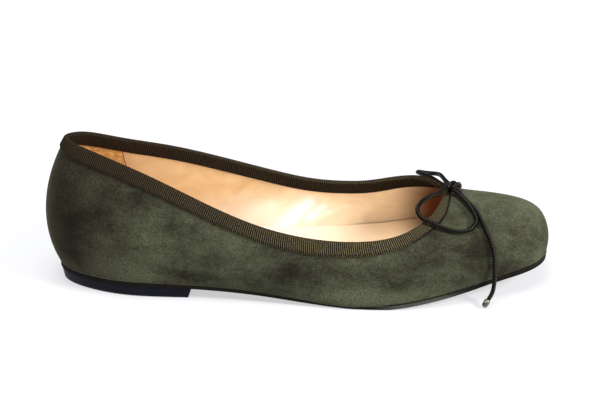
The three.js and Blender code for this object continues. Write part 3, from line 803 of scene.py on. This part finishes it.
def rim_places():
    """Places at even steps along the rim, and their runs, with the whole rim's run last."""
    fine = np.linspace(0, SECTIONS, RIM_SAMPLES)
    run = run_along(rim_point(fine))
    ribs = round(run[-1] / RIB_PITCH)
    steps = np.linspace(0, run[-1], ribs * COLUMNS_PER_RIB + 1)
    return np.interp(steps, run, fine), steps


def seen_reach(place):
    """The ribbon's reach as seen, which is pulled narrower at the back too."""
    from_back = np.minimum(place % SECTIONS, SECTIONS - place % SECTIONS)
    return ribbon_reach(place) * (1 - BACK_NARROWING * hump(from_back / BACK_SECTIONS))


def square_shift(rim):
    """How far round the foot a line square to the rim moves on its way to the ribbon's edge."""
    along = (rim_point(rim + NUDGE) - rim_point(rim - NUDGE)) / (2 * NUDGE)
    speed = np.linalg.norm(along, axis=1)
    down = -wall_rise(rim, np.ones((len(rim), 1)))[:, 0]
    slant = (down * along).sum(axis=1) / speed
    return -slant * seen_reach(rim) / speed


def ribbon_line(rim, shift, share, lift, inside=False):
    """A line of the ribbon on one face of the wall, at a share of the way from its edge to the rim."""
    place = rim + shift * (1 - share)
    edge = share_at_drop(place, seen_reach(place))
    up = (edge + (1 - edge) * share)[:, None]
    face = UPPER_WALL + (RIM_WALL - UPPER_WALL) * share
    depth = face + lift if inside else -lift
    return wall(place, up, np.broadcast_to(depth, place.shape)[:, None])[:, 0]


def ribbon_lines(rim, rib):
    """The lines round the ribbon's section, each with points, ribs, and 1 inside or 0 outside the shoe."""
    shift = square_shift(rim)
    base = CLEARANCE + RIBBON_THICKNESS - RIB_HEIGHT
    crest = base + RIB_HEIGHT * rib
    legs = np.linspace(0, 1, LEG_STEPS)
    at_rim = np.ones((len(rim), 1))
    normal = wall_normal(rim, at_rim)[:, 0]
    upwards = wall_rise(rim, at_rim)[:, 0]
    middle = wall(rim, at_rim, RIM_WALL / 2)[:, 0]
    lines = [(ribbon_line(rim, shift, s, crest if s > 0 else base), rib, 0) for s in legs]
    for angle in np.linspace(0, np.pi, FOLD_STEPS + 1)[1:-1]:
        out = (RIM_WALL / 2 + crest) * np.cos(angle)
        lift = crest * np.sin(angle)
        lines.append((middle + normal * out[:, None] + upwards * lift[:, None], rib, 0.5))
    lines += [(ribbon_line(rim, shift, s, crest if s > 0 else base, True), rib, 1) for s in legs[::-1]]
    lines += [(ribbon_line(rim, shift, s, HIDDEN_LIFT, True), rib * 0, 1) for s in legs[::HIDDEN_STEP]]
    lines.append((middle + upwards * HIDDEN_LIFT, rib * 0, 0.5))
    lines += [(ribbon_line(rim, shift, s, HIDDEN_LIFT), rib * 0, 0) for s in legs[::-HIDDEN_STEP]]
    return lines


def ribbon():
    places, run = rim_places()
    rim = places[:-1]
    rib = 0.5 + 0.5 * np.cos(2 * np.pi * np.arange(len(rim)) / COLUMNS_PER_RIB)
    lines = ribbon_lines(rim, rib)
    sections = np.stack([line for line, _, _ in lines], 1)
    at_edge = np.zeros(len(lines))
    at_edge[0] = 1
    values = {
        "rib": np.stack([heights for _, heights, _ in lines], 1),
        # No gold on the inner face, which stays dull and darker as painted shade
        "gold_and_inner_shade": ramp(sections[..., 0], *GOLD_FADE) * [1 - inside for _, _, inside in lines],
        "ribbon_edge_shade": ramp(np.abs(rim - FRONT), *EDGE_SHADE_FADE)[:, None] * at_edge,
    }
    faces = grid_faces(sections, closed=True)
    node = ["topline_ribbon"]
    piece = new_piece("topline_ribbon_ribbed", sections, faces, ribbon_material(), node, values)
    across = np.append(0, np.linalg.norm(np.diff(sections, axis=1), axis=2).mean(axis=0).cumsum())
    add_run(piece, run * MM, np.append(across, across[-1] + HIDDEN_LIFT) * MM)


# Stitches. The shape of one is shares of its half length along it, and of its half width.
STITCH_SHAPE = np.array([(-1, 0.35), (-0.8, 0.8), (-0.35, 1), (0.35, 1), (0.8, 0.8), (1, 0.35)])
STITCH_SIDES = 6
STITCH_PITCH = 2.2
STITCH_LENGTH = 1.5
STITCH_WIDTH = 0.46
STITCH_PLACE = 0.15


def threads(centres, along, normals):
    """The points and faces of one short thread, half sunk into the surface, at each centre."""
    along = unit(along)
    across = unit(np.cross(normals, along))
    ring = ring_directions(across, np.cross(along, across), STITCH_SIDES)
    ahead = STITCH_SHAPE[:, 0, None, None] * STITCH_LENGTH / 2
    reach = STITCH_SHAPE[:, 1, None, None] * STITCH_WIDTH / 2
    points = centres[:, None, None] + along[:, None, None] * ahead + ring[:, None] * reach
    one = tube_faces(points[0])
    size = len(STITCH_SHAPE) * STITCH_SIDES
    return points, [[n * size + corner for corner in face] for n in range(len(centres)) for face in one]


def ribbon_stitches():
    """A row of stitches near the ribbon's edge, outside and inside."""
    fine, run = rim_places()
    count = round(run[-1] / STITCH_PITCH)
    rim = np.interp(np.arange(count) * run[-1] / count, run, fine)
    normals = wall_normal(rim, np.ones((count, 1)))[:, 0]
    material = thread_material()
    lift = CLEARANCE + RIBBON_THICKNESS
    for name, inside in (("outer", False), ("inner", True)):
        behind, centres, before = [
            ribbon_line(place, square_shift(place), STITCH_PLACE, lift, inside)
            for place in (rim - 2 * NUDGE, rim, rim + 2 * NUDGE)
        ]
        points, faces = threads(centres, before - behind, normals)
        new_piece(f"ribbon_stitches_{name}", points, faces, material)


# The outsole
RUNGS = 260
SOLE_COLUMNS = 11
EDGE_ROUND = 0.45
EDGE_STEPS = 4
WORN_AND_LIT_PLACE = 9.0
WORN_AND_LIT_SECTIONS = 0.75


def rungs():
    """Places along the outer side from back to toe, and those across from them on the inner side."""
    outer = np.linspace(0, FRONT, RUNGS + 1)
    return outer, SECTIONS - outer


def sole_section():
    """The outsole's closed section: share across, distance past the foot line, and height in the sole."""
    spread = np.linspace(0, 1, SOLE_COLUMNS)
    bends = np.linspace(0, np.pi / 2, EDGE_STEPS)
    flat = OUTSOLE_MARGIN - EDGE_ROUND
    out = flat + EDGE_ROUND * np.sin(bends)
    low = EDGE_ROUND * (1 - np.cos(bends))
    high = OUTSOLE_THICKNESS - low
    edge = [*zip(out[1:], high[1:]), *zip(out[::-1], low[::-1])]
    section = [(across, flat, OUTSOLE_THICKNESS) for across in spread]
    section += [(1, *step) for step in edge]
    section += [(across, flat, 0) for across in spread[-2::-1]]
    return section + [(0, *step) for step in edge[-2::-1]]


def outsole():
    outer, inner = rungs()
    lines = []
    for across, margin, height in sole_section():
        line = foot_edge(outer, margin) * (1 - across) + foot_edge(inner, margin) * across
        line[:, 2] = outsole_bottom(line[:, 0]) + height
        lines.append(line)
    points = np.stack(lines, 1)
    # Greyer at the ball: wear, and a painted highlight on the lit edge
    worn_and_lit = np.exp(-(((outer - WORN_AND_LIT_PLACE) / WORN_AND_LIT_SECTIONS) ** 4))[:, None]
    faces = grid_faces(points)
    new_piece("outsole_edge", points, faces, sole_material(), ["outsole"], {"worn_and_lit": worn_and_lit})


# The dark rand that covers the suede's lower edge from the ball round the toe. Each row of its section has a
# share of the way up, and how far out and how much higher it lies in millimetres.
RAND_SECTION = [
    (0, LAYER_GAP, 0), (0, OUTSOLE_MARGIN + OVERHANG, 0), (0.5, 0.34, 0), (1, 0.306, 0), (1, 0.17, 0.12),
    (1, LAYER_GAP, 0),
]
RAND_HEIGHT = 0.8
RAND_PLACES = (9.6, 18.4)
RAND_TAPER = 2.4
RAND_LEAST = 0.02
RAND_STEPS = 420
RAND_SHARES = np.linspace(0, 0.2, 40)


def face_above_foot(place, height):
    """Points on the upper's outer face at heights above its lower edge."""
    points = wall_outside(place, np.broadcast_to(RAND_SHARES, (len(place), len(RAND_SHARES))))
    rise = points[..., 2] - points[:, :1, 2]
    up = np.array([np.interp(h, r, RAND_SHARES) for h, r in zip(height, rise)])
    return wall_outside(place, up[:, None])[:, 0]


def rand():
    place = np.linspace(*RAND_PLACES, RAND_STEPS)
    from_end = np.minimum(place - RAND_PLACES[0], RAND_PLACES[1] - place) / RAND_TAPER
    height = RAND_HEIGHT * eased(np.clip(from_end, RAND_LEAST, 1))
    out = outwards(foot_point, place)
    foot = foot_point(place) - (0, 0, CLEARANCE - LAYER_GAP)
    rise = face_above_foot(place, height) - foot
    lines = [foot + rise * share + out * reach + (0, 0, lift) for share, reach, lift in RAND_SECTION]
    points = np.stack(lines, 1)
    new_piece("toe_rand", points, tube_faces(points), sole_material())


# The sock: nearly flat over the footbed, turned up along its edge
SOCK_LIP = 3.2
SOCK_TURN = 4.5
LIP_POWER = 1.5
SOCK_GAP = 0.3
SOCK_THICKNESS = 1.6
SOCK_COLUMNS = 49
SOCK_UNDER_STEP = 6
SOCK_SHARES = np.linspace(0, 0.5, 60)

# The dark line along the sock's edge, as a share of the width, and where its colours change along the shoe
SOCK_LINE = 0.008
SOCK_LINE_FADE = (140.0, 158.0)
WARM_FADE = (138.0, 175.0)
WARM_MOST = 0.4


def inner_face_at(place, height):
    """The upper's inner face at a height, at places round the foot."""
    points = wall(place, np.broadcast_to(SOCK_SHARES, (len(place), len(SOCK_SHARES))), UPPER_WALL)
    return np.array([[np.interp(h, p[:, 2], p[:, axis]) for axis in (0, 1)] for p, h in zip(points, height)])


def sock_side(place):
    """The sock's upturned edge on one side, just clear of the lining."""
    height = foot_height(foot_edge(place, -UPPER_WALL)[:, 0]) + INSOLE_THICKNESS + SOCK_LIP
    flat = inner_face_at(place, height) - outwards(foot_point, place)[:, :2] * SOCK_GAP
    return np.concatenate([flat, height[:, None]], axis=1)


def insole():
    outer, inner = [sock_side(place) for place in rungs()]
    width = np.linalg.norm(inner - outer, axis=1)
    spread = (1 - np.cos(np.linspace(0, np.pi, SOCK_COLUMNS))) / 2
    from_edge = np.minimum(spread, 1 - spread)
    lines = []
    for across, edge_share in zip(spread, from_edge):
        line = outer * (1 - across) + inner * across
        lip = SOCK_LIP * np.exp(-((edge_share * width / SOCK_TURN) ** LIP_POWER))
        line[:, 2] = foot_height(line[:, 0]) + INSOLE_THICKNESS + lip
        lines.append(line)
    under = [line - (0, 0, SOCK_THICKNESS) for line in lines[::-SOCK_UNDER_STEP]]
    points = np.stack(lines + under, 1)
    x = points[..., 0]
    dark = np.append(np.exp(-((from_edge / SOCK_LINE) ** 2)), np.zeros(len(under)))
    values = {
        "sock": 1.0,
        "toe": toe_shade_share(x),
        # Far from the heel grip, whose colour the sock doesn't have
        "around": SECTIONS,
        "edge": dark * ramp(x, *SOCK_LINE_FADE),
        "painted_glare": glare_share(points),
        "warm": WARM_MOST * ramp(x, *WARM_FADE),
    }
    new_piece("sock", points, grid_faces(points), lining_material(), ["insole"], values)


# The heel, in levels: a share of its height, and how far its outline is drawn in
HEEL_LEVELS = [(0, 0.35), (0.02, 0.12), (0.06, 0), (0.3, 0), (0.55, 0), (0.8, 0), (0.95, 0), (1, 0.15)]
HEEL_COLUMNS = 120
HEEL_SAMPLES = 4001
HEEL_JOINT = 0.09


def place_at(x, side):
    """The place on one side of the foot line where it passes a distance from the back."""
    places = np.linspace(0, FRONT, HEEL_SAMPLES)
    return side * places[np.argmax(foot_point(side * places)[:, 0] >= x)]


def heel_outline(share, cut):
    """The heel's outline at a share of its height, from the breast round the back."""
    breast = HEEL_LENGTH + BREAST_SLANT * share
    margin = OUTSOLE_MARGIN - HEEL_INSET - HEEL_TAPER * (1 - share) - cut
    outer = np.linspace(0, place_at(breast, 1), HEEL_COLUMNS)[::-1]
    inner = np.linspace(0, place_at(breast, -1), HEEL_COLUMNS)
    points = foot_edge(np.append(outer, inner[1:]), margin)
    points[:, 0] = np.minimum(points[:, 0], breast - cut)
    points[:, 2] = (outsole_bottom(points[:, 0]) - HEEL_JOINT) * share
    return points


def heel():
    points = np.stack([heel_outline(share, cut) for share, cut in HEEL_LEVELS])
    faces = [face[::-1] for face in tube_faces(points)]
    new_piece("heel_block", points, faces, heel_material(), ["heel"])


# The strands of the knot, as steps from its middle: between the loops and the ends, and the turn over them
KNOT_STRANDS = [
    [(-4.6, -2.8, 0.1), (-2.4, -1.4, 0.7), (0, 0.4, 0.9), (1, 2.6, 0.1), (0.4, 4.4, -0.9)],
    [(-4.6, 2.9, 0.4), (-2.2, 1.6, 0.3), (0.6, -0.4, 0.2), (2.6, -1.8, -0.8), (4.2, -3.4, -1.8)],
    [(1.3, -4.9, -0.8), (0.9, -2.6, -0.4), (1.2, -0.2, -0.4), (2.8, 1.6, -0.5), (4.4, 2.6, -0.9)],
    [(-1.7, -2, -1.4), (-1.9, -2.5, 0.4), (-0.9, -1.2, 1.9), (0.9, 1, 1.9), (2.2, 2.3, 0.5), (1.9, 2, -1.3)],
    [
        (0.2, -2.3, -1.4), (0.2, -2.7, 0.3), (1.2, -1.5, 1.4), (2.6, 0.5, 1.3), (3.5, 1.9, 0.1),
        (3.2, 1.8, -1.3),
    ],
]
ROUTE_SAMPLES = 40
BRAID_SIDES = 24
BRAID_STEP = 0.22
BRAID_PITCH = 5.2
BRAID_STRANDS = 2
BRAID_RELIEF = 0.22
CORD_END = 0.55

# The outline of the dipped tips: how far along the cord, and how far from its middle
TIP_PROFILE = [
    (-0.1, 0.0), (-0.12, 0.7), (0.0, 1.22), (0.35, 1.45), (1.2, 1.5), (2.4, 1.47), (3.2, 1.36),
    (3.7, 1.1), (3.9, 0.65), (3.95, 0.0),
]
TIP_SIDES = 28


# The bow
def knot_centre():
    place = np.array([FRONT])
    share = share_at_drop(place, KNOT_INSET)[:, None]
    lift = RIBBON_THICKNESS + 2 * CLEARANCE + KNOT_HEIGHT / 2
    return wall(place, share, -lift)[0, 0]


def smooth_route(steps):
    """Points at even steps along the smooth curve through a route's steps from the knot."""
    points = np.array(steps, float)
    first = 2 * points[0] - points[1]
    last = 2 * points[-1] - points[-2]
    points = np.concatenate([[first], points, [last]])
    line = []
    for a, b, c, d in zip(points, points[1:], points[2:], points[3:]):
        ta, tb, tc = [np.linalg.norm(q - p) ** 0.5 for p, q in ((a, b), (b, c), (c, d))]
        leave = ((b - a) / ta - (c - a) / (ta + tb) + (c - b) / tb) * tb
        arrive = ((c - b) / tb - (d - b) / (tb + tc) + (d - c) / tc) * tb
        for t in np.linspace(0, 1, ROUTE_SAMPLES, endpoint=False):
            line.append(b + (c - b) * eased(t) + leave * t * (1 - t) ** 2 - arrive * t * t * (1 - t))
    line = np.array(line + [points[-2]])
    run = run_along(line)
    even = np.linspace(0, run[-1], int(run[-1] / BRAID_STEP) + 1)
    return np.stack([np.interp(even, run, line[:, axis]) for axis in range(3)], 1), even


def carried_frames(path):
    """Two directions across a path that don't twist along it."""
    ahead = unit(np.gradient(path, axis=0))
    side = unit(np.cross(ahead[0], (0, 0, 1.0)))
    sides = []
    for direction in ahead:
        side = unit(side - direction * (side @ direction))
        sides.append(side)
    sides = np.array(sides)
    return sides, np.cross(ahead, sides)


def braided_cord(path, run):
    """The points, the faces and the braid's relief of a cord along a path, with rounded ends."""
    turn = np.arange(BRAID_SIDES) * 2 * np.pi / BRAID_SIDES
    wind = BRAID_STRANDS * 2 * np.pi * run[:, None] / BRAID_PITCH
    lay = BRAID_STRANDS * turn
    braid = np.cos(lay + wind) * np.cos(lay - wind)
    reach = (CORD_DIAMETER + BRAID_RELIEF * braid) / 2
    reach[[0, -1]] *= CORD_END
    ring = ring_directions(*carried_frames(path), BRAID_SIDES)
    points = path[:, None] + ring * reach[..., None]
    return points, tube_faces(points), braid


def bow():
    centre = knot_centre()
    material = cord_material()
    knot = knot_piece(centre, material)
    tips = {side: tip_piece(side, centre) for side in ("lateral", "medial")}
    for (kind, side), steps in CORDS.items():
        path, run = smooth_route(steps)
        path = path + centre
        points, faces, braid = braided_cord(path, run)
        name, node = f"cord_{kind}_{side}", f"bow_{kind}_{side}"
        piece = new_piece(name, points, faces, material, [node], {"braid": braid})


def knot_piece(centre, material):
    points, faces, braids = [], [], []
    for steps in KNOT_STRANDS:
        path, run = smooth_route(steps)
        strand, strand_faces, braid = braided_cord(path + centre, run)
        start = sum(len(p) for p in points)
        faces += [[start + corner for corner in face] for face in strand_faces]
        points.append(strand.reshape(-1, 3))
        braids.append(braid.ravel())
    points, braid = np.concatenate(points), np.concatenate(braids)
    return new_piece("knot_wound", points, faces, material, ["bow_knot"], {"braid": braid})


def tip_piece(side, centre):
    """The dipped end: a rounded sleeve round the end of the cord."""
    before, last = [np.array(step) + centre for step in CORDS["end", side][-2:]]
    ahead = unit(last - before)
    across = unit(np.cross(ahead, (0, 0, 1.0)))
    ring = ring_directions(across, np.cross(across, ahead), TIP_SIDES)
    points = np.stack([last + ahead * (CLEARANCE + along) + ring * reach for along, reach in TIP_PROFILE])
    name, node = f"dipped_tip_{side}", f"bow_tip_{side}"
    return new_piece(name, points, tube_faces(points), tip_material(), [node])


# Floor and light
WHITE = (1.0, 1.0, 1.0, 1.0)
FLOOR_COLOUR = (0.36, 0.365, 0.385, 1.0)
FLOOR_REACH = 20.0
FLOOR_DROP = 0.0002
FLOOR_GLOW = 0.53
FAR_GLOW = 0.8
GLOW_FADE = (0.13, 0.4)
WORLD_GLOW = 0.25

# Name, place, the point that it shines on, size and power
LIGHTS = [
    ("key_light", (0.85, -0.45, 0.6), (0.0, 0.0, 0.03), (0.35, 0.3), 13.0),
    ("top_light", (-0.2, -0.12, 1.1), (0.0, 0.0, 0.0), (0.9, 0.7), 12.5),
    ("front_light", (-0.1, -1.15, 0.42), (0.0, 0.0, 0.03), (1.0, 0.3), 5.0),
]


def add_floor():
    mesh = bpy.data.meshes.new("floor")
    corners = [(x * FLOOR_REACH, y * FLOOR_REACH, 0) for x, y in ((-1, -1), (1, -1), (1, 1), (-1, 1))]
    mesh.from_pydata(corners, [], [(0, 1, 2, 3)])
    shader = Shader("floor", 0.9, 0.1, {"Base Color": FLOOR_COLOUR, "Emission Color": WHITE})
    away = shader.node("ShaderNodeVectorMath", {0: shader.place()}, operation="LENGTH").outputs["Value"]
    shader.set("Emission Strength", shader.span(away, *GLOW_FADE, FLOOR_GLOW, FAR_GLOW))
    mesh.materials.append(shader.material)
    floor = add_object("floor", mesh)
    floor.location.z = -FLOOR_DROP


def add_area(name, where, towards, size, power):
    data = bpy.data.lights.new(name, "AREA")
    data.shape = "RECTANGLE"
    data.size, data.size_y = size
    data.energy = power
    light = add_object(name, data)
    light.location = where
    aim(light, Vector(towards) - Vector(where))


def add_light():
    world = bpy.data.worlds.new("studio")
    world.use_nodes = True
    background = world.node_tree.nodes["Background"]
    background.inputs["Color"].default_value = WHITE
    background.inputs["Strength"].default_value = WORLD_GLOW
    bpy.context.scene.world = world
    for light in LIGHTS:
        add_area(*light)
    bpy.context.scene.view_settings.view_transform = "Standard"


def main():
    add_camera()
    bow()
    suede_upper()
    lining()
    ribbon()
    ribbon_stitches()
    outsole()
    rand()
    insole()
    heel()
    for piece in PIECES:
        weld(piece)
    add_floor()
    add_light()


main()
